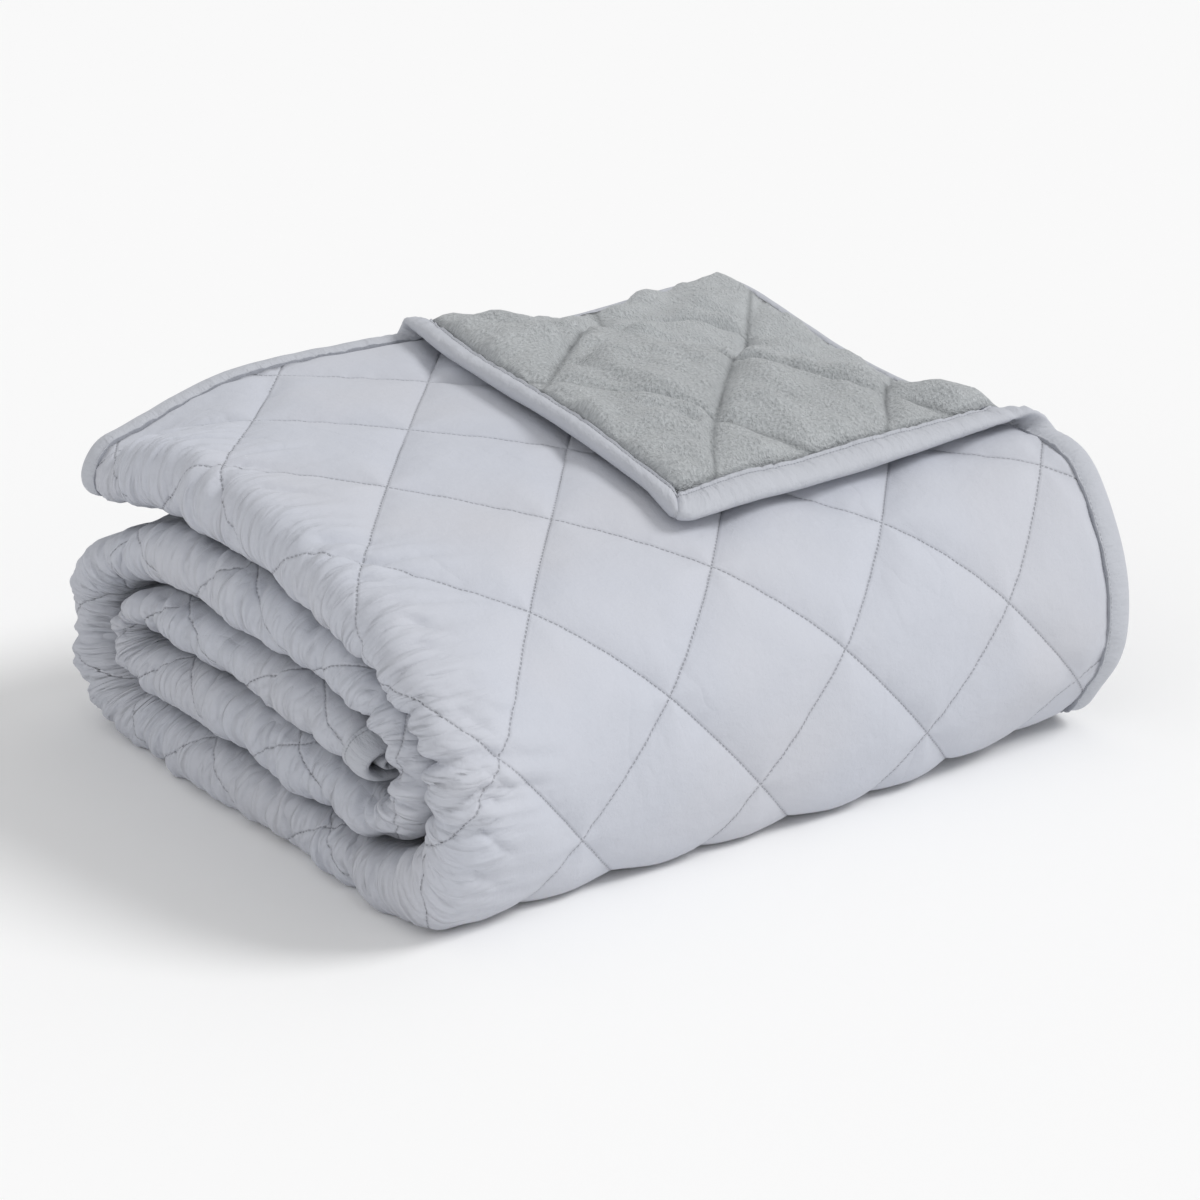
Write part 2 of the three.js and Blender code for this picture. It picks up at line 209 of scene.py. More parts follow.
# The roll from the strip's inner end to its free end: outer y and z, inner y and z
ROLL = np.array([
    (-284, 107, -284, 81), (-240, 121, -240, 84), (-190, 128, -190, 88), (-120, 130, -120, 91),
    (-50, 131, -50, 93), (4, 129.5, 2, 93), (46, 115, 24, 92), (72, 85, 35, 89), (60, 57, 26, 86),
    (24, 46.5, 8, 86), (-60, 46, -60, 90.5), (-160, 43.5, -160, 88.5), (-232, 39.5, -228, 81),
    (-290, 43, -272, 76), (-324, 60, -291, 80), (-337, 90, -297, 92), (-330, 119, -290, 108),
    (-300, 144, -270, 116.5), (-240, 164, -232, 123), (-160, 177.5, -158, 131.5),
    (-70, 183.5, -70, 132.5), (-6, 184, -6, 132.5), (54, 175, 40, 124), (101, 151, 66, 111),
    (133, 113, 84, 95), (143, 78, 89, 77), (135, 40, 78, 55), (103, 10, 52, 45.5),
    (50, -2, 20, 44.2), (-60, -2, -60, 44), (-160, -2, -160, 41.5), (-250, -2, -242, 37.8),
    (-325, -2, -298, 41.5), (-362, 5, -328, 58), (-375, 36, -339, 76), (-380, 82, -340.5, 96),
    (-371, 131, -332, 122), (-335, 177, -301, 147.5), (-288, 202, -262, 160),
    (-240, 217, -230, 168), (-160, 233.5, -157, 180), (-80, 241, -78, 185.5), (0, 245, 0, 190),
    (70, 246, 70, 196), (118, 245, 118, 198),
]) * MM
# How the roll settles: a place, the reach of the move there, and the move
SETTLING = [
    ((-169, 110, 230), (100, 90, 75), (0, -24, -32)),
    ((-169, -372, 110), (75, 120, 80), (0, -25, 0)),
    ((430, -330, 190), (130, 60, 60), (0, 0, 20)),
    ((430, -100, 230), (180, 130, 120), (0, 0, -13)),
    ((447, 118, 240), (120, 120, 100), (0, 0, 14)),
    ((430, -372, 0), (160, 60, 50), (0, 20, 12)),
]
# The corner of the top ply that is turned back, along a line from the free end to the bound edge
FLAP_AT_FREE_END_X = 123 * MM
FLAP_AT_BOUND_EDGE_X = 418 * MM
FLAP_ALONG_BOUND_EDGE = 425 * MM
FLAP_ROLL_RADIUS = 8 * MM
FLAP_LIFT = 1.5 * MM
FLAP_SETTLES_IN = 60 * MM
FLAP_STRETCH = 1.19
FLAP_SLIDE = 0.504
FLAP_BOW = 20 * MM
FLAP_BOW_DEPTH = 200 * MM
FLAP_RIPPLE = 5 * MM
FLAP_RIPPLE_PITCH = 85 * MM
CURVE_STEPS = 2000


def smooth_curve(points, steps=CURVE_STEPS):
    """Even steps along a centripetal Catmull-Rom curve through the points."""
    points = np.vstack([2 * points[0] - points[1], points, 2 * points[-1] - points[-2]])
    place = np.linspace(0, len(points) - 3, steps + 1)
    k = np.minimum(place.astype(int), len(points) - 4)
    t = (place - k)[:, None]
    p0, p1, p2, p3 = (points[k + i] for i in range(4))
    d0, d1, d2 = (np.linalg.norm(b - a, axis=1, keepdims=True) ** 0.5
                  for a, b in ((p0, p1), (p1, p2), (p2, p3)))
    m1 = ((p1 - p0) / d0 - (p2 - p0) / (d0 + d1) + (p2 - p1) / d1) * d1
    m2 = ((p2 - p1) / d1 - (p3 - p1) / (d1 + d2) + (p3 - p2) / d2) * d1
    return ((2 * t**3 - 3 * t**2 + 1) * p1 + (t**3 - 2 * t**2 + t) * m1
            + (3 * t**2 - 2 * t**3) * p2 + (t**3 - t**2) * m2)


outer_curve, inner_curve = smooth_curve(ROLL[:, :2]), smooth_curve(ROLL[:, 2:])
curve_length = np.concatenate([[0], np.cumsum(np.linalg.norm(np.diff(outer_curve, axis=0), axis=1))])
STRIP_LENGTH = curve_length[-1]
CROSSING_LENGTH = curve_length[np.flatnonzero(outer_curve[:, 0] < CROSSING_Y)[-1]]
curve_heading = np.unwrap(np.arctan2(*np.gradient(outer_curve, axis=0).T[::-1]))
curve_bend = np.abs(np.gradient(curve_heading, curve_length))


def length_at(roll_point):
    """Length along the strip at a point of ROLL, counted from 0, or between two."""
    return curve_length[round(roll_point / (len(ROLL) - 1) * CURVE_STEPS)]


SEEN_FROM = length_at(19.5)        # from here on the strip is outside the roll
FRONT_FROM = length_at(30.5)       # and from here on it is on the front or on top
COVERED_TO = length_at(23)         # up to here the next layer lies over it


def along_curve(u, values):
    """Values given along the curve, at the lengths u."""
    u = np.clip(u, 0, STRIP_LENGTH)
    if values.ndim == 1:
        return np.interp(u, curve_length, values)
    return np.stack([np.interp(u, curve_length, column) for column in values.T], axis=-1)


def ease(t):
    t = np.clip(t, 0, 1)
    return t * t * (3 - 2 * t)


def settle(p):
    """Moves the roll's places as SETTLING says, and keeps them above the floor."""
    for at, reach, by in np.array(SETTLING) * MM:
        p = p + by * np.exp(-(((p - at) / reach) ** 2).sum(axis=1, keepdims=True))
    p[:, 2] = np.maximum(p[:, 2], 0)
    return p


def roll_up(x, u, height):
    """From across, along and below the strip's outer face to the place in the roll."""
    outer, inner = along_curve(u, outer_curve), along_curve(u, inner_curve)
    share = -height / np.linalg.norm(outer - inner, axis=1)
    p = np.column_stack([x, outer + (inner - outer) * share[:, None]])
    return settle(p) - FOOTPRINT_MIDDLE


def waves(x, y, seed):
    """Smooth noise between about -1 and 1 at each place."""
    return np.array([noise.noise((a, b, seed * 7.31)) for a, b in zip(x, y)]) * 1.6


def creases(x, y, seed):
    """Narrow valleys, 1 at their bottom, between wide rounds of 0."""
    return np.clip(1 - 2.2 * np.abs(waves(x, y, seed)), 0, 1) ** 1.5


fold_start = np.array([FLAP_AT_FREE_END_X, STRIP_LENGTH])
fold_along = np.array([FLAP_AT_BOUND_EDGE_X - FLAP_AT_FREE_END_X, -FLAP_ALONG_BOUND_EDGE])
fold_along /= np.linalg.norm(fold_along)
fold_across = np.array([-fold_along[1], fold_along[0]])


def past_fold(x, u):
    """How far a place on the strip lies past the line where the corner is turned back."""
    return (x - fold_start[0]) * fold_across[0] + (u - fold_start[1]) * fold_across[1]


def turn_back(x, u, height, middle, ply):
    """The top ply goes up round a small roll at the fold line and back over itself."""
    past = past_fold(x, u)
    offset = height - middle
    angle = np.clip(past / FLAP_ROLL_RADIUS, 0, math.pi)
    beyond = np.maximum(past - math.pi * FLAP_ROLL_RADIUS, 0)
    settled = ease(beyond / FLAP_SETTLES_IN)
    lift = FLAP_ROLL_RADIUS * (1 - settled) + (ply + FLAP_LIFT) / 2 * settled
    lift = lift + FLAP_RIPPLE / 4 * settled * (1 + waves(x / FLAP_RIPPLE_PITCH, u / FLAP_RIPPLE_PITCH, 9))
    across = (FLAP_ROLL_RADIUS - offset) * np.sin(angle) - FLAP_STRETCH * beyond
    along = (x - fold_start[0]) * fold_along[0] + (u - fold_start[1]) * fold_along[1]
    along = along + FLAP_SLIDE * beyond
    place = fold_start + across[:, None] * fold_across + along[:, None] * fold_along
    width = (BOUND_END_X - FLAP_AT_FREE_END_X) * fold_across[0]
    near_edge = np.clip(1 - (STRIP_LENGTH - u) / FLAP_BOW_DEPTH, 0, 1)
    place[:, 0] -= FLAP_BOW * np.sin(math.pi * np.minimum(past / width, 1)) * near_edge
    turned = past > 0
    return (np.where(turned, place[:, 0], x), np.where(turned, place[:, 1], u),
            np.where(turned, middle + lift - (lift - offset) * np.cos(angle), height))


class Strip:
    """The folded strip at the lengths u. Plies 1 and 2 end in bound edges, and 3 and 4 run into
    each other there. n is -1 on a ply's plush side and 1 on its face, and raised is in metres."""

    def __init__(self, u):
        self.u = u
        outer, inner = along_curve(u, outer_curve), along_curve(u, inner_curve)
        self.ply = np.linalg.norm(outer - inner, axis=1) / 4
        self.half = (self.ply - PLY_GAP) / 2
        self.turn_x = FOLDED_END_X + FOLD_REACH + END_SKEW * outer[:, 0]
        sway = waves(u / 0.075, 0 * u, 1) + 0.5 * waves(u / 0.028, 0 * u, 2)
        self.turn_x = self.turn_x + FOLD_SWAY * sway
        self.bound_x = BOUND_END_X + END_SKEW * (outer[:, 0] - SHOULDER_Y)
        self.inner_fold_x = self.bound_x - INNER_FOLD_INSET
        self.edge_x = self.bound_x - BINDING

    def straight(self, ply, x, n, raised=0.0):
        middle = (0.5 - ply) * self.ply
        up = 1 if ply % 2 else -1
        height = middle + up * (n * self.half + np.sign(n) * raised)
        if ply == 1:
            return roll_up(*turn_back(x, self.u, height, middle, self.ply))
        return roll_up(x, self.u, height)

    def turned(self, centre_x, reach, centre, radius, angle):
        """Round a fold, at the angle from its upper side, drawn out along x by reach."""
        return roll_up(centre_x + reach * radius * np.sin(angle), self.u,
                       centre + radius * np.cos(angle))

    def outer_fold(self, angle, n, raised=0.0):
        radius = 1.5 * self.ply + n * self.half + np.sign(n) * raised
        return self.turned(self.turn_x, -FOLD_REACH / (2 * self.ply), -2 * self.ply, radius, angle)

    def inner_fold(self, angle, n, raised=0.0):
        radius = self.ply / 2 - n * self.half - np.sign(n) * raised
        reach = -INNER_FOLD_SHARE * FOLD_REACH / (2 * self.ply)
        return self.turned(self.turn_x, reach, -2 * self.ply, radius, angle)

    def bound_fold(self, angle, n, raised=0.0):
        radius = self.ply / 2 + n * self.half + np.sign(n) * raised
        return self.turned(self.inner_fold_x, 1, -3 * self.ply, radius, angle)

    def section(self, zone, share, x, n, raised=0.0):
        """A point of one zone of the folded section, from ply 1 round to ply 2: at x on those
        two plies, and a share of the way through each zone between them."""
        if zone == "ply_1":
            return self.straight(1, x, n, raised)
        if zone == "outer_fold":
            return self.outer_fold(share * math.pi, n, raised)
        if zone == "ply_4":
            inwards = share * (self.inner_fold_x - self.turn_x)
            return self.straight(4, self.turn_x + inwards, n, raised)
        if zone == "bound_fold":
            return self.bound_fold((1 - share) * math.pi, n, raised)
        if zone == "ply_3":
            outwards = share * (self.turn_x - self.inner_fold_x)
            return self.straight(3, self.inner_fold_x + outwards, n, raised)
        if zone == "inner_fold":
            return self.inner_fold((1 - share) * math.pi, n, raised)
        return self.straight(2, x, n, raised)


def seam_offsets(x, u):
    """Distances from the two families of seams, as shares of the way to a diamond's middle."""
    across, along = x / (DIAMOND_ACROSS / 2), (u - CROSSING_LENGTH) / (DIAMOND_ALONG / 2)
    return tuple(np.abs(s - 2 * np.round(s / 2)) for s in (across + along, across - along))


# Columns run across the folded strip, in cells: through ply 1, round the fold, back through
# ply 4, round the small fold at the bound end, and through plies 3 and 2. Cells that stay hidden
# are longer, and cells that are seen are halved up to four times.
CELL_ACROSS = DIAMOND_ACROSS / 4
CELL_ALONG = DIAMOND_ALONG / 4
PLY_CELLS, FOLD_CELLS, HIDDEN_CELLS = 15, 1, 4
HIDDEN_CELL_LENGTH = 140 * MM
DRAWN_COLUMNS = 3                  # the last columns and rows are drawn from the lattice to the
DRAWN_ROWS = 4                     # quilt's edges
MOST_HALVINGS = 4
PLY_START_X = -4 * CELL_ACROSS
zones = {}
column = 0
for zone, cells in (("ply_1", PLY_CELLS), ("outer_fold", FOLD_CELLS), ("ply_4", HIDDEN_CELLS),
                    ("bound_fold", 1), ("ply_3", HIDDEN_CELLS), ("inner_fold", 1), ("ply_2", PLY_CELLS)):
    zones[zone] = (column, column + cells)
    column += cells
COLUMNS = column
first_row = math.ceil((BINDING - CROSSING_LENGTH) / CELL_ALONG + 0.3)
last_row = math.floor((STRIP_LENGTH - BINDING - CROSSING_LENGTH) / CELL_ALONG - 0.05)
ROWS = last_row - first_row


def row_length(row):
    """Length along the strip of a row, on the lattice but for the rows near the quilt's ends."""
    v = CROSSING_LENGTH + (first_row + row) * CELL_ALONG
    start = BINDING - (CROSSING_LENGTH + first_row * CELL_ALONG)
    end = STRIP_LENGTH - BINDING - (CROSSING_LENGTH + last_row * CELL_ALONG)
    at_start = np.clip(1 - row / DRAWN_ROWS, 0, 1)
    at_end = np.clip(1 - (ROWS - row) / DRAWN_ROWS, 0, 1)
    return v + start * at_start + end * at_end


def ply_x(t, turn_x, edge_x):
    """x of a column t cells in from the bound edge, on the lattice but for the cells near the
    ply's two ends."""
    x = PLY_START_X + (PLY_CELLS - t) * CELL_ACROSS
    left = turn_x - PLY_START_X
    right = edge_x - (PLY_START_X + PLY_CELLS * CELL_ACROSS)
    at_left = np.clip(1 - (PLY_CELLS - t) / DRAWN_COLUMNS, 0, 1)
    at_right = np.clip(1 - t / DRAWN_COLUMNS, 0, 1)
    return x + left * at_left + right * at_right


def flat_quilt_place(column, u, strip):
    """x on the flat lattice for every column."""
    turn = strip.turn_x
    t = {zone: column - start for zone, (start, _) in zones.items()}
    in_fold = turn - t["outer_fold"] / FOLD_CELLS * math.pi * FOLD_REACH
    hidden = turn - math.pi * FOLD_REACH - t["ply_4"] * HIDDEN_CELL_LENGTH
    return np.select(
        [column <= zones["ply_1"][1], column <= zones["outer_fold"][1], column < zones["ply_2"][0]],
        [ply_x(t["ply_1"], turn, strip.edge_x), in_fold, hidden],
        ply_x(PLY_CELLS - t["ply_2"], turn, strip.edge_x))


def detail(column, row, on_face):
    """How many times the cell around each place is halved: more where the cloth is seen from the
    front, near seams, and where it turns."""
    u = row_length(row)
    strip = Strip(u)
    x = flat_quilt_place(column, u, strip)
    past = past_fold(x, u)
    level = np.where(along_curve(u, curve_bend) > 4, 1, 0)
    in_zone = {name: (column >= start) & (column <= end) for name, (start, end) in zones.items()}
    near_seam = np.minimum(*seam_offsets(x, u)) * SEAM_TO_MIDDLE < 3.5 * MM
    front = u > FRONT_FROM
    outside = in_zone["ply_1"] & (u > SEEN_FROM)
    plush_shows = in_zone["ply_1"] & (past > 0) | in_zone["ply_2"] & (past > -40 * MM)
    turning = in_zone["ply_1"] & front & (past > -8 * MM) & (past < 34 * MM)
    if on_face:
        level[in_zone["bound_fold"]] = 2
        level[abs(column - zones["outer_fold"][0] - FOLD_CELLS / 2) < 1.6] = 3
        level[outside] = np.maximum(level[outside], 2)
        level[outside & front & (past < 40 * MM)] = 3
        level[outside & front & near_seam & (past < 0)] = 4
        level[in_zone["ply_1"] & front & (x < strip.turn_x + 70 * MM)] = 4
        level[in_zone["outer_fold"] & (u > 0.25)] = 4
    else:
        level[plush_shows] = 4
    level[turning] = 4
    border = (np.minimum(column, COLUMNS - column) < 1) | (np.minimum(row, ROWS - row) < 1)
    border_shows = outside | in_zone["outer_fold"] | plush_shows
    return np.where(border, np.where(border_shows, 3, 1), level)


def cloth_grid(bm, on_face):
    """One side of the flat quilt, finer where it shows."""
    made = bmesh.ops.create_grid(bm, x_segments=COLUMNS, y_segments=ROWS, size=0.5)["verts"]
    bmesh.ops.translate(bm, verts=made, vec=(0.5, 0.5, 0))
    bmesh.ops.scale(bm, verts=made, vec=(COLUMNS, ROWS, 1))
    bmesh.ops.translate(bm, verts=made, vec=(0, 0, 1 if on_face else -1))
    for level in range(1, MOST_HALVINGS + 1):
        faces = [face for face in bm.faces if (face.verts[0].co.z > 0) == on_face]
        middles = np.array([face.calc_center_median() for face in faces])
        fine = set()
        for i in np.flatnonzero(detail(middles[:, 0], middles[:, 1], on_face) >= level):
            fine.update(faces[i].edges)
        bmesh.ops.subdivide_edges(bm, edges=list(fine), cuts=1, use_grid_fill=True)


SAG = 1.2 * MM
PUCKER = 0.55 * MM
PUCKER_PITCH, PUCKER_REACH = 12 * MM, 10 * MM
# Gathers round the folded end: heights, pitches and how far they reach on to the front
RIB, BROAD_RIB, TURN_RIB = 3.8 * MM, 2.6 * MM, 9.0 * MM
RIB_PITCH, BROAD_RIB_PITCH, TURN_RIB_PITCH = 16 * MM, 37 * MM, 23 * MM
RIB_REACH = 46 * MM
RIB_RISE = 1.8 * MM
TUCK, TUCK_PITCH = 3.6 * MM, 34 * MM
TUCK_MIDDLE, TUCK_REACH = 8 * MM, 20 * MM
SHARPEST_BEND = 13                 # one over the radius in metres, where TURN_RIB is full
DEEPEST = -8.5 * MM
PLUSH_CROWN = 6.5 * MM
PLUSH_SEAM_DEPTH = 0.9 * SEAM_DEPTH
PLUSH_CRUMPLE = 5.6 * MM
DUNE_LENGTH, DUNE_WIDTH = 55 * MM, 24 * MM
# How far past the face's edge the plush is sewn on, by ply, and the reaches that this eases over
PLUSH_OVER = {1: 5.5 * MM, 2: 14 * MM}
OVER_BEFORE_FOLD, OVER_EASES_IN, OVER_DRAWN_IN = 4 * MM, 44 * MM, 24 * MM
BARED_IN = 18 * MM                 # past the fold line, the plush is out from under the cover
EDGE_REACH = 5 * MM
EDGE_PUCKER_PITCH = 14 * MM


def ribs(u, pitch, slant, run, seed):
    """Rounded ribs, 0 on top, with narrow valleys down to -1 about every pitch of length."""
    return np.minimum(1.9 * np.abs(waves(u / pitch + slant, run, seed)), 1) ** 0.7 - 1


def end_gathers(column, x, u, strip):
    """Where the cloth is drawn round the folded end it gathers in ribs, deepest where the roll
    turns, and short tucks run from there on to the front."""
    past_start = column - zones["outer_fold"][0]
    round_end = np.clip(past_start / FOLD_CELLS, 0, 1)
    past_end = (past_start - FOLD_CELLS) * HIDDEN_CELL_LENGTH
    away = np.maximum(np.maximum(x - strip.turn_x, 0), past_end)
    bend = ease(along_curve(u, curve_bend) / SHARPEST_BEND)
    patch = 0.75 + 0.5 * waves(u / 0.07, round_end, 13)
    fade = np.exp(-(away / (RIB_REACH * (1 + 0.35 * waves(u / 0.05, 0 * u, 14)))) ** 2)
    slant = 1.1 * round_end + 14 * away
    relief = RIB * patch * ribs(u, RIB_PITCH, slant, 0.8 * round_end, 7)
    relief = relief + BROAD_RIB * ribs(u, BROAD_RIB_PITCH, 0.6 * slant, 0.5 * round_end, 8)
    at_turn = bend * (0.25 + 0.75 * round_end)
    relief = relief + TURN_RIB * at_turn * ribs(u, TURN_RIB_PITCH, 0.3 * slant, 0 * u, 9)
    near_end = np.exp(-((away - TUCK_MIDDLE) / TUCK_REACH) ** 2)
    tuck = creases(u / TUCK_PITCH + 22 * away, 9 * away, 12) * near_end
    return (relief + RIB_RISE) * fade - TUCK * tuck


def seam_puckers(x, u, offsets):
    """Small waves that the stitches draw into the cloth on both sides of a seam."""
    relief = 0
    for k, off in enumerate(offsets):
        way = 1 - 2 * k
        run = (x * DIAMOND_ACROSS - u * way * DIAMOND_ALONG) / DIAMOND_DIAGONALS
        near = np.exp(-((off * SEAM_TO_MIDDLE / PUCKER_REACH) ** 2))
        relief = relief + PUCKER * near * waves(run / PUCKER_PITCH, 2 * off, 4 + k)
    return relief


def face_relief(column, x, u, offsets, strip):
    """The face: low pillows with flat crowns between narrow valleys, unevenly filled."""
    offset = np.minimum(*offsets)
    in_end = np.exp(-(np.maximum(x - strip.turn_x, 0) / (30 * MM)) ** 2)
    valley = -SEAM_DEPTH * (1 - 0.45 * in_end) * np.clip(1 - offset / PILLOW_RIM, 0, 1) ** 2.4
    filled = SAG * waves(x / 0.07, u / 0.07, 3) * np.clip(offset * 3, 0, 1)
    relief = valley + filled + seam_puckers(x, u, offsets) + end_gathers(column, x, u, strip)
    round_end = (column - zones["outer_fold"][0]) / FOLD_CELLS
    return np.maximum(relief, DEEPEST) * (1 - ease((round_end - 0.86) / 0.14))


def plush_relief(x, u, offsets):
    """The plush: full crumpled pillows that close over deep seams."""
    offset = np.minimum(*offsets)
    crown = PLUSH_CROWN * np.clip(offset / 0.5, 0, 1) ** 0.5
    valley = -PLUSH_SEAM_DEPTH * np.clip(1 - offset / 0.13, 0, 1)
    along_flap = (x * fold_along[0] + u * fold_along[1]) / DUNE_LENGTH
    across_flap = (x * fold_across[0] + u * fold_across[1]) / DUNE_WIDTH
    dunes = 1.5 * np.abs(waves(along_flap, across_flap, 15)) - 0.45
    crumple = dunes + 0.6 * waves(2.1 * along_flap, 1.8 * across_flap, 16)
    return crown + valley + PLUSH_CRUMPLE * crumple * np.clip(offset * 4, 0, 1)


def over_binding(ply, x, u, n):
    """How far past the face's edge the plush is sewn on: a little on the turned-back corner, and
    further on the ply that it bares, where full pillows hide most of the binding."""
    past = (past_fold(x, u) + OVER_BEFORE_FOLD) / OVER_EASES_IN
    return np.where(n < 0, PLUSH_OVER[ply] * ease(past), 0)


def quilt_place(column, row, n):
    """Where a point of the flat quilt lies in the roll, and its x and length on the flat lattice.
    n is 1 on the face and -1 on the plush."""
    u = row_length(row)
    strip = Strip(u)
    x = flat_quilt_place(column, u, strip)
    offsets = seam_offsets(x, u)
    ply_1 = column <= zones["ply_1"][1]
    in_zone = {name: (column > start) & (column <= end) for name, (start, end) in zones.items()}
    face_shows = (n > 0) & (ply_1 & (u > SEEN_FROM) | in_zone["outer_fold"])
    plush_shows = (n < 0) & (ply_1 | in_zone["ply_2"])
    # The turned-back corner's face lies pressed under it, so its relief is low
    face = face_relief(column, x, u, offsets, strip)
    face = np.where(ply_1 & (past_fold(x, u) > 4 * MM), 0.2 * face, face)
    pile = ease(past_fold(x, u) / BARED_IN) * plush_relief(x, u, offsets)
    raised = np.where(face_shows, face, 0) + np.where(plush_shows, pile, 0)
    # Both sides are drawn in at the edges, where they are sewn into the binding
    side = np.where(ply_1 | in_zone["ply_2"], strip.edge_x - x, 1.0)
    end = np.minimum(u - BINDING, STRIP_LENGTH - BINDING - u)
    at_edge = np.exp(-(np.minimum(end, side) / EDGE_REACH) ** 2)
    run = np.where(side < end, u, x)
    drawn_in = 0.50 + 0.22 * waves(run / EDGE_PUCKER_PITCH, n, 17)
    raised = raised * (1 - at_edge) - drawn_in * strip.half * at_edge
    over = np.where(ply_1, over_binding(1, x, u, n), 0)
    over = np.where(in_zone["ply_2"], over_binding(2, x, u, n), over)
    x = x + over * np.clip(1 - side / OVER_DRAWN_IN, 0, 1)
    from_free_end = STRIP_LENGTH - BINDING - u
    strip = Strip(u + over * np.clip(1 - from_free_end / OVER_DRAWN_IN, 0, 1))
    placed = np.zeros((len(x), 3))
    for zone, (start, end) in zones.items():
        found = strip.section(zone, (column - start) / (end - start), x, n, raised)
        there = ply_1 if zone == "ply_1" else in_zone[zone]
        placed = np.where(there[:, None], found, placed)
    return placed, x, u


def painted_light_and_shade_mask(column, row):
    """Where shade and light are painted: 1 on the cloth between two layers or inside the folded strip, 0
    where it bulges out.
    """
    round_end = (column - zones["outer_fold"][0]) / FOLD_CELLS
    under_next = ease((COVERED_TO - row_length(row)) / (40 * MM))
    on_ply_1 = np.exp(-(np.maximum(round_end, 0) / 0.13) ** 2) * under_next
    return np.maximum(on_ply_1, np.exp(-(np.maximum(1 - round_end, 0) / 0.13) ** 2))


def finished_piece(name, bm, finishes):
    """A smooth-shaded object from a bmesh, facing outwards, riding on the blanket's one body."""
    if bm.calc_volume(signed=True) < 0:
        bmesh.ops.reverse_faces(bm, faces=bm.faces)
    mesh = bpy.data.meshes.new(name)
    bm.to_mesh(mesh)
    bm.free()
    mesh.shade_smooth()
    for finish in finishes:
        mesh.materials.append(finish.material)
    piece = bpy.data.objects.new(name, mesh)
    bpy.context.scene.collection.objects.link(piece)
    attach(piece, "root")
    return piece


THREAD_PITCH = 3.65 * MM
THREAD_WIDTH = 0.42 * MM
STITCH_SHARE = 0.62                # how much of the pitch the thread shows


def seam_distances(across, along):
    """Distances in metres from the nearest seam of either way."""
    a = across * (2 / DIAMOND_ACROSS)
    b = (along - CROSSING_LENGTH) * (2 / DIAMOND_ALONG)
    return [(a + b * way).math("PINGPONG", 1.0) * SEAM_TO_MIDDLE for way in (1, -1)]


def thread_dashes(across, along, seams):
    """1 on the thread's dashes along the seams."""
    dashes = []
    for way, seam in zip((1, -1), seams):
        run = across * DIAMOND_ACROSS - along * way * DIAMOND_ALONG
        run = run / (THREAD_PITCH * DIAMOND_DIAGONALS)
        stitch = run.math("FRACT").below(STITCH_SHARE, 0.06)
        dashes.append(stitch * seam.below(THREAD_WIDTH, 0.2 * MM))
    return dashes[0].math("MAXIMUM", dashes[1])


# The face's cloth: a fine weave with soft wrinkles, in three tones that lie close together. Shade is
# painted into it: a little over the whole folded end, more in the valleys of its gathers, and between the
# roll's layers.
face_cloth = Finish("face_cloth", roughness=0.86, sheen=0.10)
across, along, place = face_cloth.flat_place()
seams = seam_distances(across, along)
seam, dash = seams[0].math("MINIMUM", seams[1]), thread_dashes(across, along, seams)
FACE_COLOUR, FACE_SHADE = (0.570, 0.588, 0.648), (0.525, 0.545, 0.602)
FACE_WARM = (0.562, 0.568, 0.608)
# The colour that painted shade darkens the cloth towards
FACE_PAINTED_SHADE = (0.300, 0.312, 0.350)
THREAD_COLOUR = (0.24, 0.25, 0.28)
mottle = face_cloth.noise(place, 30, detail=5, roughness=0.6)
tint = face_cloth.noise(place, 7, detail=2)
colour = face_cloth.colours(mottle, FACE_SHADE, FACE_COLOUR)
colour = face_cloth.mixed((tint - 0.42) * 2.2, colour, FACE_WARM)
weave = face_cloth.noise(place, 1300, detail=2, stretch=(1.0, 0.45, 1.0))
crumple = face_cloth.noise(place, 55, detail=6, roughness=0.6)
crease = abs(face_cloth.noise(place, 13, detail=3, stretch=(1.0, 0.5, 1.0)) - 0.5).below(0.01, 0.05)
creased_patch = face_cloth.noise(place, 7, detail=1).below(0.44, 0.07)
crease = crease * creased_patch
at_folded_end = across.below(-0.158, 0.040) * (0 - across).below(0.28, 0.04)
broad_rib = abs(face_cloth.noise(place, 64, detail=1.5, stretch=(0.24, 1.0, 1.0)) - 0.5)
fine_rib = abs(face_cloth.noise(place, 150, detail=1, stretch=(0.22, 1.0, 1.0)) - 0.5)
end_rib = (broad_rib + fine_rib * 0.22) * at_folded_end
# Where the valleys of the gathers get painted shade
rib_valley_shade = broad_rib.below(0.005, 0.035) * at_folded_end
groove = seam.below(0.5 * MM, 2.0 * MM)
normal = None
for height, distance, strength in ((crumple, 2.2 * MM, 0.6), (1 - crease, 1.2 * MM, 0.55),
                                   (end_rib, 15 * MM, 0.9), (1 - groove, 1.6 * MM, 0.7),
                                   (weave, 0.14 * MM, 0.6), (1 - dash, 0.5 * MM, 0.8)):
    normal = face_cloth.relief(height, distance, strength, under=normal)
# Painted shade between the roll's layers and inside the folded strip, from the mask on the vertices
painted_light_and_shade = face_cloth.node("ShaderNodeAttribute", {"attribute_name": "painted_light_and_shade"}, output=2)
# Painted shade: a little over the whole folded end, more in the valleys of its gathers
colour = face_cloth.mixed(rib_valley_shade * 0.20 + at_folded_end * 0.06, colour, FACE_PAINTED_SHADE)
colour = face_cloth.mixed(painted_light_and_shade * 0.66, colour, FACE_PAINTED_SHADE)
face_cloth.wear(Base_Color=face_cloth.mixed(dash * 0.30, colour, THREAD_COLOUR), Normal=normal)

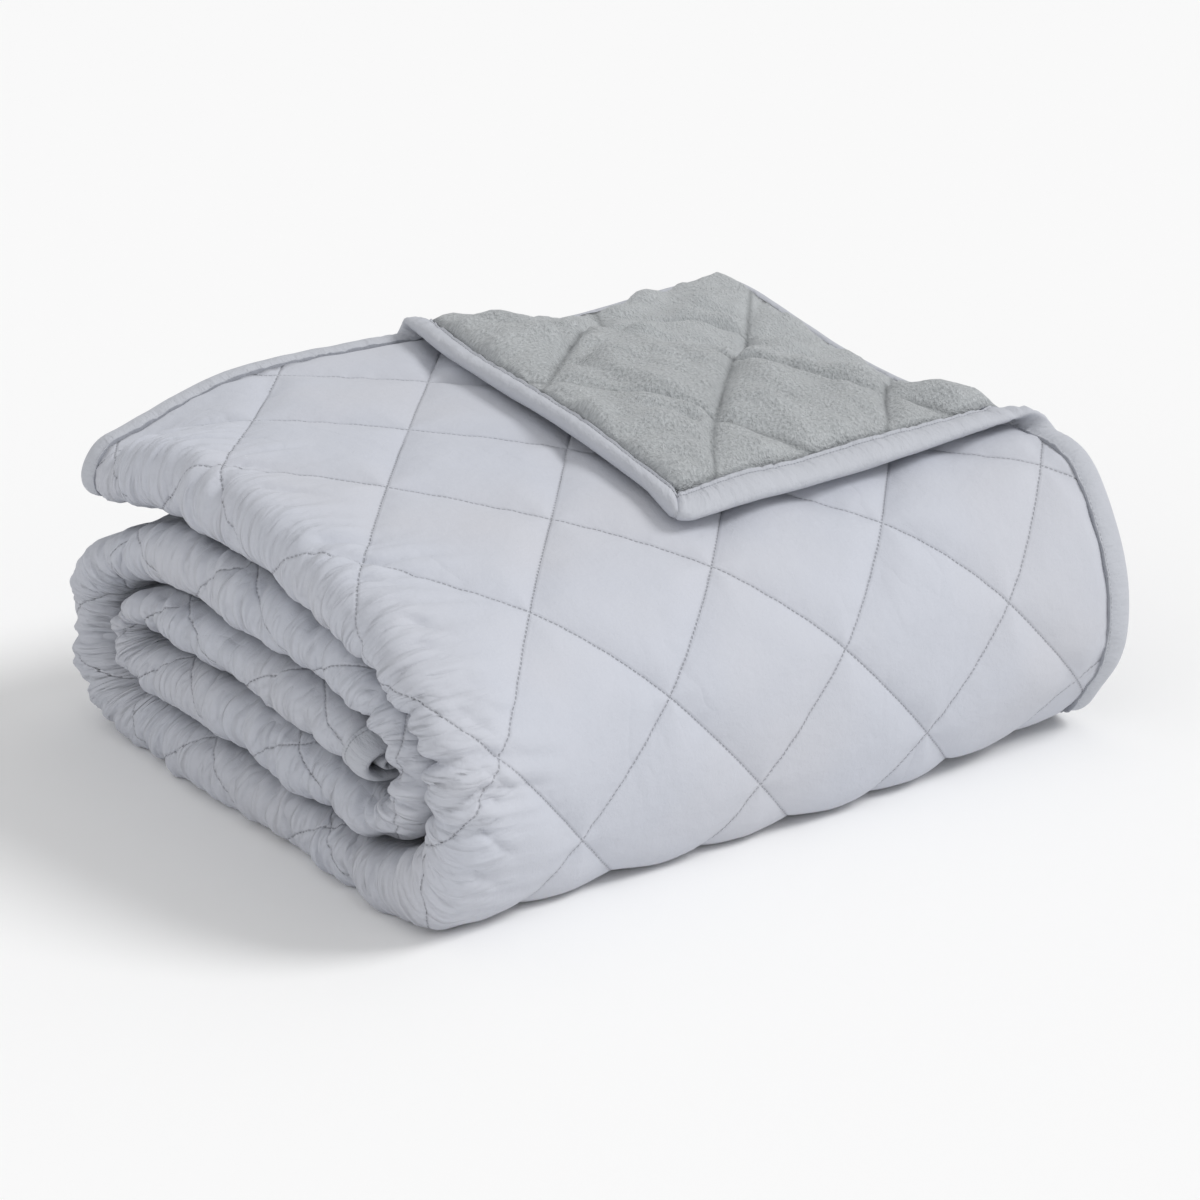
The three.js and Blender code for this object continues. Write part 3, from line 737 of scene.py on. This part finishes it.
# The plush: a short deep nap, brushed unevenly, that closes over the seams
plush = Finish("plush", roughness=0.95, sheen=0.35)
across, along, place = plush.flat_place()
PLUSH_COLOUR, PLUSH_SHADE = (0.662, 0.690, 0.708), (0.250, 0.263, 0.273)
PLUSH_PARTED_AND_SHADED = (0.180, 0.191, 0.200)
brushed = plush.noise(place, 26, detail=3, roughness=0.5)
nap = plush.noise(place, 600, detail=3, roughness=0.6, stretch=(1.0, 0.6, 1.0))
seams = seam_distances(across, along)
# Darker in the seams: partly the pile parting there, partly painted shade in their valleys
seam_parting_and_shade = seams[0].math("MINIMUM", seams[1]).below(1.2 * MM, 2.8 * MM)
colour = plush.colours(nap * 1.2 + brushed * 0.25 - 0.22, PLUSH_SHADE, PLUSH_COLOUR)
# Painted light: the plush of the second ply, inside the fold and bared at the rear, is painted lighter
# where it tilts towards the light
painted_light_and_shade = plush.node("ShaderNodeAttribute", {"attribute_name": "painted_light_and_shade"}, output=2)
colour = plush.mixed(painted_light_and_shade * 0.38, colour, PLUSH_COLOUR)
plush.wear(
    Base_Color=plush.mixed(seam_parting_and_shade * 0.75, colour, PLUSH_PARTED_AND_SHADED),
    Normal=plush.relief(nap, 3.4 * MM, 1.0, under=plush.relief(brushed, 4 * MM, 0.5)),
)

bm = bmesh.new()
cloth_grid(bm, on_face=True)
cloth_grid(bm, on_face=False)
bmesh.ops.bridge_loops(bm, edges=[e for e in bm.edges if e.is_boundary])
bmesh.ops.recalc_face_normals(bm, faces=bm.faces)
flat = np.array([v.co for v in bm.verts])
placed, flat_x, flat_u = quilt_place(flat[:, 0], flat[:, 1], flat[:, 2])
# A mask on the vertices for painted shade on the face and painted light on the second ply's plush
painted_light_and_shade_layer = bm.verts.layers.float.new("painted_light_and_shade")
for v, value in zip(bm.verts, painted_light_and_shade_mask(flat[:, 0], flat[:, 1])):
    v[painted_light_and_shade_layer] = value
flat_map = bm.loops.layers.uv.new("flat")
for face in bm.faces:
    face.material_index = 0 if sum(flat[v.index][2] for v in face.verts) > -0.5 else 1
    for loop in face.loops:
        loop[flat_map].uv = (flat_x[loop.vert.index], flat_u[loop.vert.index])
for v, co in zip(bm.verts, placed):
    v.co = co
quilt = finished_piece("quilt_cloth", bm, (face_cloth, plush))
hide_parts("quilt")

# The binding: the face cloth again, folded over each raw edge and sewn down close to its inside
# edge, so that it stands up as a soft round rim. Its corners are mitred.
BINDING_AROUND = 24                # points around its section
STATION = 3.2 * MM
BINDING_TURN = 27 * MM             # how far the cloth goes from the seam to the rim
BINDING_MAP_START = 10             # keeps its flat map in metres clear of the quilt's
SQUASHED_UNDER_PLUSH = 0.5
# Its section from the seam to the rim: share of the width, and thickness as a share of the ply's,
# with the sewn lip, the stitched groove beside it and the full round rim
SECTION_OUT = (0, 0, 0.03, 0.07, 0.12, 0.18, 0.30, 0.45, 0.62, 0.78, 0.90, 0.97, 1.0)
SECTION_THICK = (0, 0.85, 1.05, 0.98, 0.68, 0.82, 1.02, 1.13, 1.13, 1.0, 0.75, 0.42, 0)
CORNER_ROUND = 0.36
MITRED_IN = 60 * MM


def binding_strip(name, node, length, place_at):
    """A closed tube of length. place_at(t, out, thick) places its points at the share t of the
    length, out of the seam and on either side of the strip's middle."""
    bm = bmesh.new()
    bmesh.ops.create_grid(bm, x_segments=BINDING_AROUND, y_segments=round(length / STATION), size=1)
    first = sorted((v for v in bm.verts if v.co.x < -0.9999), key=lambda v: v.co.y)
    last = sorted((v for v in bm.verts if v.co.x > 0.9999), key=lambda v: v.co.y)
    bmesh.ops.weld_verts(bm, targetmap=dict(zip(last, first)))
    bmesh.ops.holes_fill(bm, edges=[e for e in bm.edges if e.is_boundary])
    bmesh.ops.recalc_face_normals(bm, faces=bm.faces)
    flat = np.array([v.co for v in bm.verts])
    angle = flat[:, 0]
    share = np.abs(angle) * (len(SECTION_OUT) - 1)
    out = np.interp(share, range(len(SECTION_OUT)), SECTION_OUT)
    thick = np.interp(share, range(len(SECTION_OUT)), SECTION_THICK)
    placed = place_at((flat[:, 1] + 1) / 2, out, np.sign(angle) * np.maximum(thick, 1e-4))
    flat_map = bm.loops.layers.uv.new("flat")
    for face in bm.faces:
        for loop in face.loops:
            i = loop.vert.index
            turn = abs(angle[i]) * BINDING_TURN
            loop[flat_map].uv = (BINDING_MAP_START + turn, (flat[i][1] + 1) / 2 * length)
    for v, co in zip(bm.verts, placed):
        v.co = co
    piece = finished_piece(name, bm, (binding_cloth,))
    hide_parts(node)
    return piece


def soft_edge(over, x, u, run, out, thick, seed):
    """How far out of the seam at x, u a point of the section lies, and its thickness, where the
    plush lies over the strip by over metres. The rim swells and shrinks, and tightens in pleats
    where the corner is turned back."""
    over = over / BINDING
    swell = 1 + 0.10 * waves(run / 0.05, 0 * run, seed)
    swell = swell + 0.06 * waves(run / 0.018, np.sign(thick), seed + 1)
    inner = np.clip(1 - out * 1.4, 0, 1)
    notch = 0.26 * creases(run / 0.013, np.sign(thick), seed + 2) * inner
    at_turn = np.exp(-((past_fold(x, u) - 14 * MM) / (26 * MM)) ** 2)
    pleat = 0.50 * at_turn * creases(run / 0.010, 0 * run, seed + 5)
    reach = BINDING * (over + (1 - over) * out) * (0.985 + 0.03 * (swell - pleat))
    return reach, thick * (swell - notch - pleat - 0.4 * at_turn * inner**3)


def round_corner(a, b, thick):
    """Rounds the mitred corner outside both seams, a and b metres out, and draws in its mitre."""
    far_a, far_b = np.clip(a / BINDING, 0, 1), np.clip(b / BINDING, 0, 1)
    nearer = np.minimum(far_a, far_b)
    mitre = 0.42 * np.exp(-((a - b) / (2.2 * MM)) ** 2) * (nearer > 0)
    rounded_b = np.where(b > 0, b * np.sqrt(1 - CORNER_ROUND * far_a**2), b)
    return a * np.sqrt(1 - CORNER_ROUND * far_b**2), rounded_b, thick * (1 - mitre + 0.18 * nearer)


def to_mitre(from_end, reach):
    """How far a place near a strip's end is moved on so that the strip ends on its mitre."""
    return (reach - BINDING / 2) * np.clip(1 - from_end / MITRED_IN, 0, 1)


binding_cloth = Finish("binding_cloth", roughness=0.86, sheen=0.12)
across, along, place = binding_cloth.flat_place()
# The binding's colours are the face cloth's painted about 8% darker: painted shade
BINDING_COLOUR, BINDING_SHADE = (0.530, 0.546, 0.592), (0.478, 0.494, 0.536)
EDGE_STITCH_PITCH = 3.2 * MM
# The stitches run in the groove of the section, which is its fourth step of twelve
from_stitches = abs(across - (BINDING_MAP_START + BINDING_TURN * 4 / 12))
stitch = (along / EDGE_STITCH_PITCH).math("FRACT").below(0.60, 0.06)
dash = stitch * from_stitches.below(0.5 * MM, 0.2 * MM)
mottle = binding_cloth.noise(place, 50, detail=4)
colour = binding_cloth.colours(mottle, BINDING_SHADE, BINDING_COLOUR)
# Painted shade next to the seam, where the binding meets the quilt
seam_painted_shade = across.below(BINDING_MAP_START + 3.4 * MM, 0.9 * MM)
colour = binding_cloth.mixed(seam_painted_shade * 0.8, colour, FACE_PAINTED_SHADE)
weave = binding_cloth.noise(place, 1300, detail=2, stretch=(1.0, 0.45, 1.0))
pucker = binding_cloth.noise(place, 150, detail=3, stretch=(0.30, 1.0, 1.0))
pucker = pucker * from_stitches.below(9 * MM, 7 * MM)
crumple = binding_cloth.noise(place, 70, detail=5, roughness=0.6)
normal = None
for height, distance, strength in ((pucker, 3.0 * MM, 0.8), (crumple, 4.0 * MM, 0.7),
                                   (weave, 0.14 * MM, 0.6), (1 - dash, 0.5 * MM, 0.8)):
    normal = binding_cloth.relief(height, distance, strength, under=normal)
binding_cloth.wear(Base_Color=binding_cloth.mixed(dash * 0.6, colour, THREAD_COLOUR), Normal=normal)


def under_plush(ply, thick):
    """The second ply's binding is pressed down on its plush side."""
    pressed = (np.asarray(ply) == 2) & (thick < 0)
    return np.where(pressed, SQUASHED_UNDER_PLUSH * thick, thick)


def side_place(ply):
    """Places for a strip along the bound edge of ply 1 or 2."""
    def place_at(t, out, thick):
        u = BINDING / 2 + t * (STRIP_LENGTH - BINDING)
        edge_x = Strip(u).edge_x
        over = over_binding(ply, edge_x, u, thick)
        reach, thick = soft_edge(over, edge_x, u, u, out, thick, 20 + 8 * ply)
        u = u - to_mitre(u - BINDING / 2, reach) + to_mitre(STRIP_LENGTH - BINDING / 2 - u, reach)
        free_half = u > STRIP_LENGTH / 2
        beyond = np.where(free_half, u - (STRIP_LENGTH - BINDING), BINDING - u)
        reach, beyond, thick = round_corner(reach, beyond, under_plush(ply, thick))
        strip = Strip(np.where(free_half, STRIP_LENGTH - BINDING + beyond, BINDING - beyond))
        return strip.straight(ply, strip.edge_x + reach, thick)
    return place_at


binding_strip("outer_side_binding", "binding_outer_side", STRIP_LENGTH, side_place(1))
binding_strip("inner_side_binding", "binding_inner_side", STRIP_LENGTH, side_place(2))

# The two end strips follow the folded strip's section through its four plies. Each zone has about
# its real length in metres.
PATH = [("ply_1", 0.55), ("outer_fold", 0.07), ("ply_4", 0.56), ("bound_fold", 0.03), ("ply_3", 0.56),
        ("inner_fold", 0.03), ("ply_2", 0.55)]
PATH_LENGTH = sum(length for _, length in PATH)


def end_place(seam, outward):
    """Places for a strip at one end, whose seam is at a length, and whose rim is outward of it."""
    def place_at(t, out, thick):
        path = t * PATH_LENGTH
        seam_strip = Strip(np.full(len(t), seam))
        ply = np.where(path < PATH_LENGTH / 2, 1, 2)
        # How far it is from the bound edge to the big fold, on ply 1 or 2
        share = np.where(ply == 1, path / PATH[0][1], (PATH_LENGTH - path) / PATH[-1][1])
        share = np.clip(share, 0, 1)
        from_end = (seam_strip.edge_x + BINDING / 2 - seam_strip.turn_x) * share
        x = seam_strip.edge_x + BINDING / 2 - from_end
        over = np.where(ply == 1, over_binding(1, x, seam_strip.u, thick),
                        over_binding(2, x, seam_strip.u, thick))
        reach, thick = soft_edge(over, x, seam_strip.u, path, out, under_plush(ply, thick), 44)
        x = x + to_mitre(from_end, reach)
        reach, beside, thick = round_corner(reach, x - seam_strip.edge_x, thick)
        strip = Strip(seam + outward * reach)
        edge_skew, fold_skew = strip.edge_x - seam_strip.edge_x, strip.turn_x - seam_strip.turn_x
        side_x = seam_strip.edge_x + beside + (edge_skew * (1 - share) + fold_skew * share)
        placed = np.zeros((len(t), 3))
        start = 0.0
        for zone, length in PATH:
            found = strip.section(zone, np.clip((path - start) / length, 0, 1), side_x, thick)
            placed = np.where((path >= start)[:, None], found, placed)
            start += length
        return placed
    return place_at


binding_strip("free_end_binding", "binding_free_end", PATH_LENGTH,
              end_place(STRIP_LENGTH - BINDING, 1))
binding_strip("inner_end_binding", "binding_inner_end", PATH_LENGTH, end_place(BINDING, -1))
